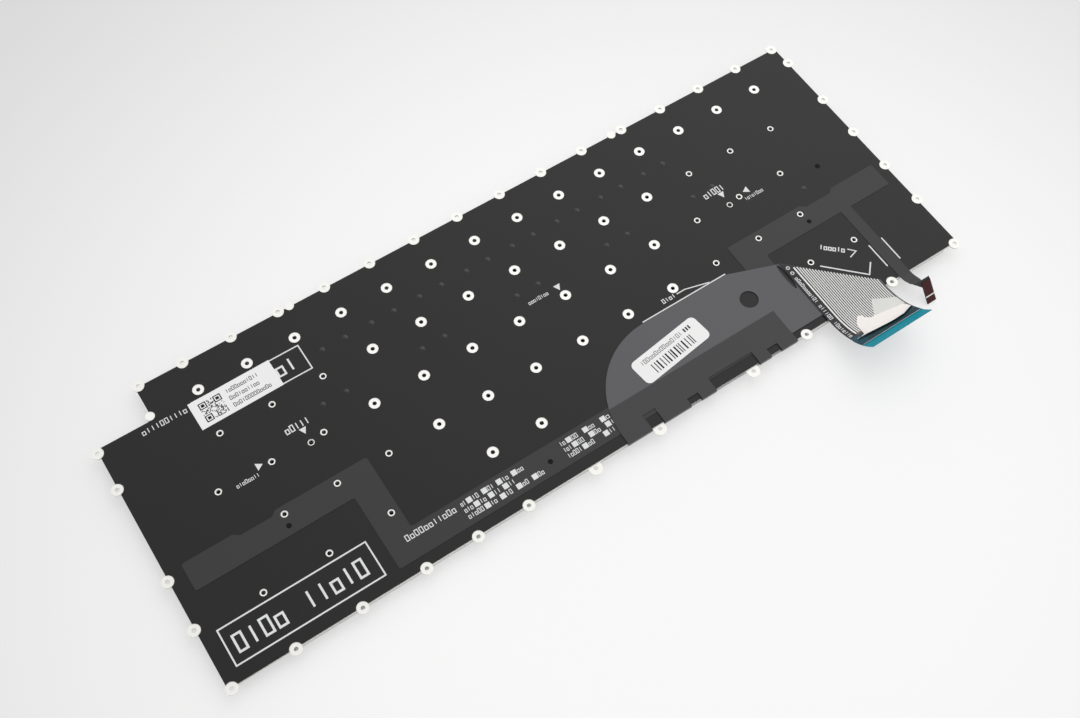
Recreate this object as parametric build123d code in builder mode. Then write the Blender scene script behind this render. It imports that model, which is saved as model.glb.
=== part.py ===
from build123d import *
import os

# Laptop keyboard module lying on its keycaps, back film up, function row towards +Y.
# The typist's left hand is at +X. Sizes are in millimetres, z = 0 is the key plane.

# Film outline with the corner left free for the power key
film_width = 289.6
film_depth = 104.8
notch_width = 19.8
notch_depth = 13.4
plate_front_lip = 0.35
plate_fold_inset = 0.35
guide_inset = 0.3
membrane_inset = 1.2

# Layers from the key plane up
cap_height = 1.8
cap_top = 0.9
travel = 1.3
press_clearance = 0.2
membrane_thickness = 0.25
plate_thickness = 0.4
guide_thickness = 0.3
film_thickness = 0.1
circuit_thickness = 0.12
sheet_thickness = 0.14
tape_thickness = 0.06
label_thickness = 0.1
stiffener_thickness = 0.2
liner_thickness = 0.08
layer_gap = 0.02

# Key grid
key_pitch = 19.05
function_pitch = 17.977
row_pitch = 17.97
first_line_y = 40.9
key_field = 143.3
key_overhang = 0.2
key_gap = 3.6
arrow_gap = 1.2
cap_wall = 0.8
cap_corner = 1.2
cap_edge = 0.3
pad_radius = 0.9
pad_gap = 0.2
pad_clearance = 0.05

# Gaps between keys, measured from the centre line, and how many each row has
function_gap_count = 14
number_gap_count = 13
tab_gap_count = 13
home_gap_count = 12
shift_gap_count = 11
function_first_gap = 125.9
number_first_gap = 119.6
tab_first_gap = 109.9
home_first_gap = 104.8
shift_first_gap = 95.1
bottom_gaps = [114.2, 95.1, 75.5, 51.5, -38.5, -57.5, -76.4, -99.2, -122.2]

# Levers, domes and stabiliser wires
lever_bar = 0.6
lever_gap = 0.15
lever_height = 0.8
lever_margin = 0.3
lever_depth_limit = 10.5
lever_width_limit = 12.4
lever_seat = 0.05
dome_radius = 2.5
dome_wall = 0.9
dome_height = 1.0
wire_radius = 0.3
wire_offset = 0.75
wire_arm = 4.0
wire_bend = 1.0
wire_inset = 4.0
wide_key = 34.0

# Screw holes: raised bosses in the field, ears round the edge, and which gaps and rows carry them
small_ring_ends = 3
shift_large_gaps = (6, 7)
shift_small_gaps = (0, 9)
bottom_small_gaps = (0, 7, 8)
bottom_ear_gaps = (0, 2, 4, 5, 6, 7, 8)
left_ear_rows = (1, 3, 4)
right_ear_rows = (1, 2, 3, 4)
hole_radius = 0.75
large_boss = 1.93
small_boss = 1.15
locator_boss = 1.1
locator_hole = 0.85
boss_clearance = 0.1
boss_recess = 0.15
membrane_hole = 1.0
ear_radius = 2.0
ear_overhang = 0.3
front_tab_overhang = 1.4
front_tab_width = 4.6
front_tab_root = 1.0
hook_radius = 1.6
hook_x = 67.5
notch_hook_y = 40.7
corner_ear_inset = 1.2
front_row_drop = 1.0
upper_left_ear_y = 37.7
upper_right_ear_y = 44.0
front_tabs = [-13.3, 12.4, 51.5]
locator_x = 85.8
locator_y = 4.0

# Backlight circuit: two arms, two legs and a bar, then a narrow tail
band_width = 10.1
arm_top_y = -10.3
left_arm_inset = 5.6
right_arm_inset = 4.15
# the recess in the upper edge of each arm, as distances along the arm and depths below that edge
arm_recess = [(105.7, -0.6), (108.5, 1.5), (119.5, 1.5), (122.3, -0.6)]
leg_inner_x = 73.5
bar_low_y = -48.5
band_corner = 0.8
led_arm_x = 105.4
led_arm_y = -17.3
led_bar_x = 24.5
led_bar_y = -44.0
led_length = 2.4
led_width = 1.2
led_clearance = 0.2
strip_x = 120.0
strip_width = 4.6
strip_end_x = 122.9
strip_end_width = 3.9
strip_leave_y = -54.3
strip_crest = (-58.65, 2.85)
strip_end = (-65.3, -3.95)
neck_corner = [(117.4, -57.6), (118.2, -58.9)]
neck_overlap = 0.5
neck_depth = 2.0
strip_bend = 4.0
strip_crease = 1.0
contact_start = 1.0

# Membrane extension folded round the front edge on to the back
sheet_left_x = 0.3
sheet_right_x = 71.3
sheet_arc = 30.4
sheet_top_y = -18.9
sheet_flat_end_x = 66.5
sheet_low_y = -49.8
wrap_gap = 0.2
sheet_window_x = 67.1
sheet_window_y = -31.2
sheet_window_radius = 3.35
slit_length = 11.0
slit_width = 2.0
tape_top_y = -39.3
# each relief is its low x, high x and top y
reliefs = [(10.0, 15.0, -47.0), (26.0, 30.5, -50.2), (36.5, 55.0, -47.8), (60.0, 64.5, -49.9)]

# Tail: turned over at a slanting fold, then curled up past the front edge
tail_left_x = 84.9
tail_right_x = 110.9
fold_top_y = -25.6
fold_low_y = -49.9
fold_width = 0.25
tail_lift = 0.12
curl_start_y = -52.5
curl_radius = 22.0
tail_angle = 47.4
stiffener_start = 33.0
stiffener_angle = 55.0
stiffener_straight = 2.3
liner_start = 5.0
liner_end = 42.0
liner_margin = 0.4
liner_outline = [(91.4, -59.4), (94.2, -57.1), (95.6, -59.0), (97.1, -60.5), (98.8, -60.4), (102.9, -54.6),
                 (tail_right_x - liner_margin, -58.6), (tail_right_x - liner_margin, -65.1), (105.2, -66.7),
                 (97.4, -66.5), (86.2, -65.2), (90.3, -63.1)]

# Labels: centre, length, height and turn
id_label_place = (-98.3, 32.4)
id_label_size = (30.0, 10.9)
id_label_turn = 0.7
sticker_place = (32.4, -32.4)
sticker_size = (29.5, 9.9)
sticker_turn = 7.7
sticker_corner = 2.0

# Heights that follow from the layers
membrane_z = cap_height + travel + press_clearance
plate_z = membrane_z + membrane_thickness
guide_z = plate_z + plate_thickness
film_z = guide_z + guide_thickness
back_z = film_z + film_thickness
sheet_z = back_z + circuit_thickness + layer_gap
sheet_face_z = sheet_z + sheet_thickness
tail_z = sheet_face_z + tail_lift
boss_z = back_z - boss_recess
line_y = [first_line_y - row_pitch * row for row in range(5)]
film_half_x = film_width / 2
film_half_y = film_depth / 2


def gap_line(first_gap, pitch, count, y):
    """Centres of the gaps of one key row, from the typist's left to right."""
    return [(first_gap - pitch * step, y) for step in range(count)]


function_gaps = gap_line(function_first_gap, function_pitch, function_gap_count, line_y[0])
number_gaps = gap_line(number_first_gap, key_pitch, number_gap_count, line_y[1])
tab_gaps = gap_line(tab_first_gap, key_pitch, tab_gap_count, line_y[2])
home_gaps = gap_line(home_first_gap, key_pitch, home_gap_count, line_y[3])
shift_gaps = gap_line(shift_first_gap, key_pitch, shift_gap_count, line_y[4])
front_gap_y = line_y[4] - front_row_drop

large_holes = function_gaps + [shift_gaps[index] for index in shift_large_gaps]
small_holes = [shift_gaps[index] for index in shift_small_gaps]
small_holes += [(bottom_gaps[index], front_gap_y) for index in bottom_small_gaps]
for gaps in (number_gaps, tab_gaps, home_gaps):
    large_holes += gaps[small_ring_ends:-small_ring_ends]
    small_holes += gaps[:small_ring_ends] + gaps[-small_ring_ends:]
locators = [(-locator_x, locator_y), (locator_x, locator_y)]

ear_x = film_half_x + ear_overhang
ear_y = film_half_y + ear_overhang
corner_x = film_half_x - corner_ear_inset
far_ears = [(x, ear_y) for x, _ in function_gaps]
far_ears += [(corner_x, ear_y), (corner_ear_inset - film_half_x + notch_width, ear_y)]
side_ears = [(-ear_x, line_y[row]) for row in left_ear_rows]
side_ears += [(ear_x, line_y[row]) for row in right_ear_rows]
side_ears += [(-ear_x, upper_left_ear_y), (ear_x, upper_right_ear_y)]
front_ears = [(bottom_gaps[index], -ear_y) for index in bottom_ear_gaps]
front_ears += [(-corner_x, -ear_y), (corner_x, -ear_y)]
ears = far_ears + side_ears + front_ears
tab_y = -film_half_y - front_tab_overhang
tab_length = front_tab_overhang + front_tab_root
tab_holes = [(x, tab_y) for x in front_tabs]
tab_roots = [(x, tab_y + tab_length / 2) for x in front_tabs]
notch_x = notch_width - film_half_x
hooks = [(-hook_x, ear_y), (hook_x, ear_y), (notch_x - ear_overhang, notch_hook_y)]
leds = [(-led_arm_x, led_arm_y), (led_arm_x, led_arm_y), (-led_bar_x, led_bar_y), (led_bar_x, led_bar_y)]


def plan_outline(inset=0.0, front=0.0):
    """Corners of the film outline, moved in by an inset and out at the front edge."""
    x = film_half_x - inset
    y = film_half_y - inset
    inner_x = notch_x + inset
    inner_y = film_half_y - notch_depth - inset
    return [(-x, -y - front), (x, -y - front), (x, y), (inner_x, y), (inner_x, inner_y), (-x, inner_y)]


os.makedirs("parts", exist_ok=True)


def save(solid, name):
    """Label a finished piece and write it."""
    solid.label = name
    export_step(solid, f"parts/{name}.step")


# Support plate: stamped sheet with screw bosses and edge ears, cut back where the membrane folds round it
front_centre_x = (sheet_left_x + sheet_right_x) / 2
front_width = sheet_right_x - sheet_left_x
fold_cut = plate_front_lip + plate_fold_inset
with BuildPart() as support_plate:
    with BuildSketch(Plane.XY.offset(plate_z)):
        with BuildLine():
            Polyline(*plan_outline(front=plate_front_lip), close=True)
        make_face()
        with Locations((front_centre_x, fold_cut / 2 - film_half_y - plate_front_lip)):
            Rectangle(front_width, fold_cut, mode=Mode.SUBTRACT)
        with Locations(*ears):
            Circle(ear_radius)
        with Locations(*hooks):
            Circle(hook_radius)
        with Locations(*tab_holes):
            Circle(front_tab_width / 2)
        with Locations(*tab_roots):
            Rectangle(front_tab_width, tab_length)
    extrude(amount=plate_thickness)
    with BuildSketch(Plane.XY.offset(guide_z)):
        with Locations(*large_holes):
            Circle(large_boss)
        with Locations(*small_holes):
            Circle(small_boss)
        with Locations(*locators):
            Circle(locator_boss)
        with Locations(*ears):
            Circle(ear_radius)
        with Locations(*hooks):
            Circle(hook_radius)
    extrude(amount=boss_z - guide_z)
    with BuildSketch(Plane.XY.offset(plate_z)):
        with Locations(*large_holes, *small_holes, *ears, *tab_holes):
            Circle(hole_radius)
        with Locations(*locators):
            Circle(locator_hole)
    extrude(amount=boss_z - plate_z, mode=Mode.SUBTRACT)
save(support_plate.part, "support_plate")


def back_layer(low_z, thickness, inset, clearance):
    """One layer of the back, cut clear of the bosses, the ears and the lamps."""
    with BuildPart() as layer:
        with BuildSketch(Plane.XY.offset(low_z)):
            with BuildLine():
                Polyline(*plan_outline(inset), close=True)
            make_face()
            with Locations(*large_holes):
                Circle(large_boss + clearance, mode=Mode.SUBTRACT)
            with Locations(*small_holes):
                Circle(small_boss + clearance, mode=Mode.SUBTRACT)
            with Locations(*ears):
                Circle(ear_radius + clearance, mode=Mode.SUBTRACT)
            with Locations(*hooks):
                Circle(hook_radius + clearance, mode=Mode.SUBTRACT)
            with Locations(*locators):
                Circle(locator_boss + clearance, mode=Mode.SUBTRACT)
            with Locations(*leds):
                Rectangle(led_length + 2 * led_clearance, led_width + 2 * led_clearance, mode=Mode.SUBTRACT)
        extrude(amount=thickness)
    return layer.part


# Light guide and black reflector film
save(back_layer(guide_z, guide_thickness, guide_inset, 2 * boss_clearance), "light_guide")
save(back_layer(film_z, film_thickness, 0.0, boss_clearance), "reflector_film")

# Lamps on the underside of the backlight circuit
with BuildPart() as led_group:
    with BuildSketch(Plane.XY.offset(guide_z + layer_gap)):
        with Locations(*leds):
            Rectangle(led_length, led_width)
    extrude(amount=back_z - guide_z - layer_gap)
save(led_group.part, "leds")

# Backlight circuit with the tail that rises past the front edge and is creased down
end_left_x = strip_end_x - strip_end_width / 2
strip_low = (strip_leave_y, back_z)
crest = Vector(strip_crest[0], back_z + strip_crest[1])
strip_tip = Vector(strip_end[0], back_z + strip_end[1])
with BuildPart() as led_circuit:
    with BuildSketch(Plane.XY.offset(back_z)) as band:
        for side, inset in ((-1, left_arm_inset), (1, right_arm_inset)):
            arm_length = film_half_x - inset - leg_inner_x
            with Locations((side * (leg_inner_x + arm_length / 2), arm_top_y - band_width / 2)):
                Rectangle(arm_length, band_width)
            with Locations((side * (leg_inner_x + band_width / 2), (arm_top_y + bar_low_y) / 2)):
                Rectangle(band_width, arm_top_y - bar_low_y)
        with Locations((0, bar_low_y + band_width / 2)):
            Rectangle(2 * leg_inner_x + 2 * band_width, band_width)
        fillet(band.vertices(), band_corner)
        for side in (-1, 1):
            with BuildLine():
                Polyline(*[(side * x, arm_top_y - depth) for x, depth in arm_recess], close=True)
            make_face(mode=Mode.SUBTRACT)
        with Locations(*small_holes):
            Circle(small_boss + 2 * boss_clearance, mode=Mode.SUBTRACT)
    extrude(amount=circuit_thickness)
with BuildPart() as led_tail:
    with BuildSketch(Plane.YZ.offset(strip_x - 2 * strip_width)):
        with BuildLine():
            FilletPolyline(
                (arm_top_y - band_width / 2, back_z),
                strip_low,
                crest,
                strip_tip,
                radius=[strip_bend, strip_crease],
            )
            offset(amount=circuit_thickness, side=Side.RIGHT)
        make_face()
    extrude(amount=4 * strip_width)
    with BuildSketch():
        with BuildLine():
            Polyline(
                (strip_x - strip_width / 2, 0),
                (strip_x + strip_width / 2, 0),
                (strip_x + strip_width / 2, strip_leave_y),
                (end_left_x + neck_overlap, strip_crest[0]),
                (end_left_x + strip_end_width, strip_crest[0]),
                (end_left_x + strip_end_width, 2 * strip_end[0]),
                (end_left_x, 2 * strip_end[0]),
                (end_left_x, strip_crest[0] - neck_depth),
                *reversed(neck_corner),
                (strip_x - strip_width / 2, strip_leave_y),
                close=True,
            )
        make_face()
    extrude(amount=back_z + 2 * strip_crest[1], mode=Mode.INTERSECT)
with BuildPart() as led_circuit_whole:
    add(led_circuit.part)
    add(led_tail.part)
save(led_circuit_whole.part, "led_circuit")

# Stiffened contact end of the backlight tail, bonded on the upper face of its last run
run = (strip_tip - crest).normalized()
out = Vector(run.Y, -run.X)
contact_low = crest + run * contact_start + out * (circuit_thickness + layer_gap / 2)
contact_high = strip_tip + out * (circuit_thickness + layer_gap / 2)
with BuildPart() as backlight_contacts:
    with BuildSketch(Plane.YZ.offset(end_left_x)):
        with BuildLine():
            Polyline(
                contact_low,
                contact_high,
                contact_high + out * stiffener_thickness,
                contact_low + out * stiffener_thickness,
                close=True,
            )
        make_face()
    extrude(amount=strip_end_width)
save(backlight_contacts.part, "backlight_contacts")

# Membrane: switch sheet under the plate, folded round the front edge and out as the tail
wrap_y = -film_half_y - plate_front_lip - wrap_gap
sheet_arc_y = sheet_top_y - sheet_arc
fold_top = (tail_left_x, fold_top_y)
fold_low = (tail_right_x, fold_low_y)
curl_centre = (curl_start_y, tail_z + curl_radius)


def sheet_outline():
    """Edge of the part of the membrane that lies on the back."""
    left = Line((sheet_left_x, wrap_y - sheet_thickness), (sheet_left_x, sheet_arc_y))
    arc = RadiusArc(left @ 1, (sheet_left_x + sheet_arc, sheet_top_y), sheet_arc)
    Polyline(
        arc @ 1,
        (sheet_flat_end_x, sheet_top_y),
        fold_top,
        fold_low,
        (tail_right_x - fold_width, sheet_low_y),
        (sheet_right_x, sheet_low_y),
        (sheet_right_x, wrap_y - sheet_thickness),
        left @ 0,
    )


# Blocks that clear the front tabs and hooks out of the folded sheet and its tape
with BuildPart() as relief_blocks:
    with BuildSketch(Plane.XY.offset(membrane_z)):
        for low_x, high_x, top_y in reliefs:
            with Locations(((low_x + high_x) / 2, (top_y - film_depth) / 2)):
                Rectangle(high_x - low_x, film_depth + top_y)
    extrude(amount=sheet_face_z + tape_thickness - membrane_z)

with BuildPart() as membrane_sheet:
    with BuildSketch(Plane.XY.offset(membrane_z)):
        with BuildLine():
            Polyline(*plan_outline(membrane_inset), close=True)
        make_face()
        with Locations(*large_holes, *small_holes, *locators):
            Circle(membrane_hole, mode=Mode.SUBTRACT)
    extrude(amount=membrane_thickness)
    apron_low_y = wrap_y - sheet_thickness
    apron_high_y = 2 * membrane_inset - film_half_y
    with BuildSketch(Plane.XY.offset(membrane_z)):
        with Locations((front_centre_x, (apron_low_y + apron_high_y) / 2)):
            Rectangle(front_width, apron_high_y - apron_low_y)
    extrude(amount=membrane_thickness)
    with BuildSketch(Plane.XY.offset(membrane_z)):
        with Locations((front_centre_x, apron_low_y + sheet_thickness / 2)):
            Rectangle(front_width, sheet_thickness)
    extrude(amount=sheet_face_z - membrane_z)
    with BuildSketch(Plane.XY.offset(sheet_z)):
        with BuildLine():
            sheet_outline()
        make_face()
        with Locations((sheet_window_x, sheet_window_y)):
            Circle(sheet_window_radius, mode=Mode.SUBTRACT)
        with Locations((tail_left_x - slit_width / 2, fold_top_y - slit_length / 2)):
            Ellipse(slit_width / 2, slit_length / 2, mode=Mode.SUBTRACT)
    extrude(amount=sheet_thickness)
    add(relief_blocks.part, mode=Mode.SUBTRACT)
    with BuildSketch(Plane.XY.offset(sheet_z)):
        with BuildLine():
            Polyline(
                fold_top,
                fold_low,
                (tail_right_x, fold_low_y - fold_width),
                (tail_left_x, fold_top_y - fold_width),
                close=True,
            )
        make_face()
    extrude(amount=tail_z + sheet_thickness - sheet_z)


def curled_strip(low_x, high_x, radius, thickness, start, end, straight=0.0):
    """A layer of the tail's curl between two angles, as thick as given, inside the given radius."""
    with BuildPart() as strip:
        with BuildSketch(Plane.YZ.offset(low_x)):
            with BuildLine():
                if start == 0:
                    Line((fold_top_y, curl_centre[1] - radius), (curl_start_y, curl_centre[1] - radius))
                arc = CenterArc(curl_centre, radius, -90 - start, start - end)
                if straight:
                    Line(arc @ 1, arc @ 1 + (arc % 1) * straight)
                offset(amount=thickness, side=Side.RIGHT)
            make_face()
        extrude(amount=high_x - low_x)
    return strip.part


with BuildPart() as tail:
    add(curled_strip(tail_left_x, tail_right_x, curl_radius, sheet_thickness, 0, tail_angle))
    with BuildSketch():
        with BuildLine():
            Polyline(
                fold_top,
                fold_low,
                (tail_right_x, curl_start_y - curl_radius),
                (tail_left_x, curl_start_y - curl_radius),
                close=True,
            )
        make_face()
    extrude(amount=tail_z + curl_radius, mode=Mode.INTERSECT)
with BuildPart() as membrane_circuit:
    add(membrane_sheet.part)
    add(tail.part)
save(membrane_circuit.part, "membrane_circuit")

# Stiffener under the end of the tail, and the torn paper liner on its upper face
stiffener_radius = curl_radius + layer_gap + stiffener_thickness
stiffener = curled_strip(
    tail_left_x,
    tail_right_x,
    stiffener_radius,
    stiffener_thickness,
    stiffener_start,
    stiffener_angle,
    stiffener_straight,
)
save(stiffener, "tail_stiffener")
liner_radius = curl_radius - sheet_thickness - layer_gap
with BuildPart() as tail_liner:
    add(curled_strip(tail_left_x, tail_right_x, liner_radius, liner_thickness, liner_start, liner_end))
    with BuildSketch():
        with BuildLine():
            Polyline(*liner_outline, close=True)
        make_face()
    extrude(amount=tail_z + curl_radius, mode=Mode.INTERSECT)
save(tail_liner.part, "tail_liner")

# Matt tape over the fold at the front edge
with BuildPart() as fold_tape:
    with BuildSketch(Plane.XY.offset(sheet_face_z)):
        with BuildLine():
            sheet_outline()
        make_face()
        with Locations((front_centre_x, (tape_top_y + apron_low_y) / 2)):
            Rectangle(front_width, tape_top_y - apron_low_y, mode=Mode.INTERSECT)
    extrude(amount=tape_thickness)
    add(relief_blocks.part, mode=Mode.SUBTRACT)
save(fold_tape.part, "fold_tape")

# Printed labels
with BuildPart() as id_label:
    with BuildSketch(Plane.XY.offset(back_z)):
        with Locations(Location(id_label_place, id_label_turn)):
            Rectangle(*id_label_size)
    extrude(amount=label_thickness)
save(id_label.part, "id_label")
with BuildPart() as barcode_sticker:
    with BuildSketch(Plane.XY.offset(sheet_face_z)):
        with Locations(Location(sticker_place, sticker_turn)):
            RectangleRounded(*sticker_size, sticker_corner)
    extrude(amount=label_thickness)
save(barcode_sticker.part, "barcode_sticker")

# Key places, each row from the typist's left to right
keys = {}


def add_row(names, edges, low_y, high_y):
    """Place one row of keys between its gaps."""
    for name, high_x, low_x in zip(names, edges, edges[1:]):
        keys[name] = (low_x, high_x, low_y, high_y)


def field_edges(gaps):
    """Edges of the keys of a row that fills the whole key field."""
    return [key_field] + [x for x, _ in gaps] + [-key_field]


function_names = [f"function_{index}" for index in range(function_gap_count + 1)]
function_edges = [function_first_gap + function_pitch] + [x for x, _ in function_gaps]
function_edges.append(function_gaps[-1][0] - function_pitch)
front_y = -film_half_y - key_overhang
split_y = (line_y[4] + front_y) / 2
add_row(function_names, function_edges, line_y[0], film_half_y + key_overhang)
number_names = ["grave", *"1234567890", "minus", "equals", "backspace"]
tab_names = ["tab", *"qwertyuiop", "open_bracket", "close_bracket", "bar"]
home_names = ["caps_lock", *"asdfghjkl", "semicolon", "quote", "enter"]
shift_names = ["left_shift", *"zxcvbnm", "comma", "stop", "stroke", "right_shift"]
bottom_names = ["left_control", "function_shift", "system", "left_alternate", "space", "right_alternate"]
bottom_names += ["right_control", "arrow_left", "arrow_up", "arrow_right"]
add_row(number_names, field_edges(number_gaps), line_y[1], line_y[0])
add_row(tab_names, field_edges(tab_gaps), line_y[2], line_y[1])
add_row(home_names, field_edges(home_gaps), line_y[3], line_y[2])
add_row(shift_names, field_edges(shift_gaps), line_y[4], line_y[3])
add_row(bottom_names, [key_field] + bottom_gaps + [-key_field], front_y, line_y[4])
column_low_x, column_high_x = keys["arrow_up"][:2]
arrow_shift = (key_gap - arrow_gap) / 2
keys["arrow_up"] = (column_low_x, column_high_x, split_y - arrow_shift, line_y[4])
keys["arrow_down"] = (column_low_x, column_high_x, front_y, split_y + arrow_shift)
sprung = [*"1234567890", *"qwertyuiop", *"asdfghjkl", *"zxcvbnm"]
sprung += ["backspace", "tab", "caps_lock", "enter", "left_shift", "right_shift", "space"]


def key_size(place):
    """Centre, width and depth of the cap at a key place."""
    low_x, high_x, low_y, high_y = place
    return (low_x + high_x) / 2, (low_y + high_y) / 2, high_x - low_x - key_gap, high_y - low_y - key_gap


def make_cap(place, pad_end):
    """One moulded cap, open towards the plate, with the pad that presses its dome."""
    x, y, width, depth = key_size(place)
    with BuildPart() as cap:
        with BuildSketch():
            with Locations((x, y)):
                RectangleRounded(width, depth, cap_corner)
        extrude(amount=cap_height)
        chamfer(cap.faces().sort_by(Axis.Z)[0].edges(), cap_edge)
        with BuildSketch(Plane.XY.offset(cap_top)):
            with Locations((x, y)):
                Rectangle(width - 2 * cap_wall, depth - 2 * cap_wall)
        extrude(amount=cap_height - cap_top, mode=Mode.SUBTRACT)
        with BuildSketch(Plane.XY.offset(cap_top)):
            with Locations((x, y)):
                Circle(pad_radius)
        extrude(amount=pad_end - cap_top)
    return cap.part


# Caps: the sprung ones are pieces of their own, the rest stand on the membrane in two groups
pressed_pad = membrane_z - travel - pad_clearance
for name in sprung:
    save(make_cap(keys[name], pressed_pad), f"key_{name}")
seated = [name for name in keys if name not in sprung and name not in function_names]
function_caps = [make_cap(keys[name], membrane_z) for name in function_names]
save(Compound(children=function_caps), "function_keys")
save(Compound(children=[make_cap(keys[name], membrane_z) for name in seated]), "side_keys")


def lever_size(place):
    """Width and depth of the outer lever frame under a cap."""
    _, _, width, depth = key_size(place)
    free_width = min(width - 2 * cap_wall - 2 * lever_margin, lever_width_limit)
    free_depth = min(depth - 2 * cap_wall - 2 * lever_margin, lever_depth_limit)
    return free_width, free_depth


def make_levers(place):
    """The two nested frames of a key's scissor, lying folded against the membrane."""
    x, y, _, _ = key_size(place)
    width, depth = lever_size(place)
    step = 2 * lever_bar + 2 * lever_gap
    frames = []
    for inset in (0, step):
        hollow = inset + 2 * lever_bar
        with BuildPart() as frame:
            with BuildSketch(Plane.XY.offset(membrane_z - lever_seat - lever_height)):
                with Locations((x, y)):
                    Rectangle(width - inset, depth - inset)
                    Rectangle(width - hollow, depth - hollow, mode=Mode.SUBTRACT)
            extrude(amount=lever_height)
        frames.append(frame.part)
    return frames


def make_dome(place):
    """Base ring of a key's rubber dome, round the path of the cap's pad."""
    x, y, _, _ = key_size(place)
    room = lever_size(place)[1] / 2 - 2 * lever_bar - 2 * lever_gap
    outer = min(dome_radius, room)
    inner = max(outer - dome_wall, pad_radius + pad_gap)
    with BuildPart() as dome:
        with BuildSketch(Plane.XY.offset(membrane_z - dome_height)):
            with Locations((x, y)):
                Circle(outer)
                Circle(inner, mode=Mode.SUBTRACT)
        extrude(amount=dome_height)
    return dome.part


def make_wire(place):
    """Bent wire that keeps a wide cap level."""
    x, y, width, _ = key_size(place)
    bar_y = y + lever_size(place)[1] / 2 + wire_offset
    reach = width / 2 - wire_inset
    wire_z = membrane_z - lever_seat - wire_radius
    with BuildPart() as wire:
        with BuildLine() as path:
            FilletPolyline(
                (x - reach, bar_y - wire_arm, wire_z),
                (x - reach, bar_y, wire_z),
                (x + reach, bar_y, wire_z),
                (x + reach, bar_y - wire_arm, wire_z),
                radius=wire_bend,
            )
        with BuildSketch(Plane(origin=path.line @ 0, z_dir=path.line % 0)):
            Circle(wire_radius)
        sweep()
    return wire.part


# Scissor levers, rubber domes and stabiliser wires under the caps
levers = [frame for place in keys.values() for frame in make_levers(place)]
save(Compound(children=levers), "scissor_levers")
save(Compound(children=[make_dome(place) for place in keys.values()]), "rubber_domes")
wide_places = [place for place in keys.values() if key_size(place)[2] + key_gap > wide_key]
save(Compound(children=[make_wire(place) for place in wide_places]), "stabiliser_wires")
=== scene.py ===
import math
import random

import bpy
from mathutils import Matrix, Vector


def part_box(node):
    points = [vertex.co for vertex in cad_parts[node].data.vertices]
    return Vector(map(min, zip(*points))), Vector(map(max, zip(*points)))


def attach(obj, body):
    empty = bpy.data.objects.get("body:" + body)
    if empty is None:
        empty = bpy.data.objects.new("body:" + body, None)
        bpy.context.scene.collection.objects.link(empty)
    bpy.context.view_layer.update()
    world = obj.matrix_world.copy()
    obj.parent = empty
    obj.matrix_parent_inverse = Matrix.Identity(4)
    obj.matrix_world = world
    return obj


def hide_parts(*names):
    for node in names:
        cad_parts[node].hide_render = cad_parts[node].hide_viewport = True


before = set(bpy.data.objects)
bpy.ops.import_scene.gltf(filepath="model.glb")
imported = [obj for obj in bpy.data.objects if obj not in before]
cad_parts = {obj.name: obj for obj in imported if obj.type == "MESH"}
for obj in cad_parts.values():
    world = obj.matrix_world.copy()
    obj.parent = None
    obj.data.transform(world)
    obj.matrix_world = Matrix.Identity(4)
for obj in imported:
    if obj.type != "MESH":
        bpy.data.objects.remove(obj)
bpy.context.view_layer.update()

# The setting is a white sweep of paper in a light tent, brighter from the right and from behind. The
# camera looks down on the keyboard's back from its near left corner.
mm = 0.001
back_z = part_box("reflector_film")[1].z / mm
scene = bpy.context.scene
scene.view_settings.view_transform = "Standard"

camera_right = Vector((0.83244, -0.55354, 0.02517))
camera_up = Vector((0.48272, 0.74675, 0.45754))
camera_eye = Vector((-121.85, -167.2, back_z + 376.41)) * mm
camera_data = bpy.data.cameras.new("camera")
camera_data.lens = 41.88
camera_data.sensor_width = 36.0
camera_turn = Matrix((camera_right, camera_up, camera_right.cross(camera_up))).transposed()
camera = bpy.data.objects.new("camera", camera_data)
camera.matrix_world = Matrix.Translation(camera_eye) @ camera_turn.to_4x4()
scene.collection.objects.link(camera)
scene.camera = camera

tent_mean = 0.86
tent_slope = (0.42, 0.3, 0.0)
tent_least = 0.12


def worked(tree, operation, *values):
    """The result of a math node of that tree, fed with sockets or plain numbers."""
    node = tree.nodes.new("ShaderNodeMath")
    node.operation = operation
    for socket, value in zip(node.inputs, values):
        if isinstance(value, bpy.types.NodeSocket):
            tree.links.new(value, socket)
        else:
            socket.default_value = value
    return node.outputs[0]


tent = bpy.data.worlds.new("tent")
tent.use_nodes = True
tent_tree = tent.node_tree
tent_cloth = tent_tree.nodes["Background"]
tent_cloth.inputs["Color"].default_value = (1.0, 0.998, 0.996, 1.0)
tent_place = tent_tree.nodes.new("ShaderNodeTexCoord")
tent_lean = tent_tree.nodes.new("ShaderNodeVectorMath")
tent_lean.operation = "DOT_PRODUCT"
tent_lean.inputs[1].default_value = tent_slope
tent_tree.links.new(tent_place.outputs["Generated"], tent_lean.inputs[0])
tent_level = worked(tent_tree, "ADD", tent_lean.outputs["Value"], tent_mean)
tent_tree.links.new(worked(tent_tree, "MAXIMUM", tent_level, tent_least), tent_cloth.inputs["Strength"])
scene.world = tent

softbox_place = Vector((0.6, 0.46, 0.95))
softbox_data = bpy.data.lights.new("softbox", "AREA")
softbox_data.shape = "SQUARE"
softbox_data.size = 1.05
softbox_data.energy = 2.0
softbox = bpy.data.objects.new("softbox", softbox_data)
softbox.location = softbox_place
softbox.rotation_euler = softbox_place.to_track_quat("Z", "Y").to_euler()
scene.collection.objects.link(softbox)


def srgb(red, green, blue):
    """A colour named by its screen values from 0 to 255, as the linear colour that a shader takes."""
    shares = [value / 255 for value in (red, green, blue)]
    linear = [s / 12.92 if s <= 0.04045 else ((s + 0.055) / 1.055) ** 2.4 for s in shares]
    return (*linear, 1.0)


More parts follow.
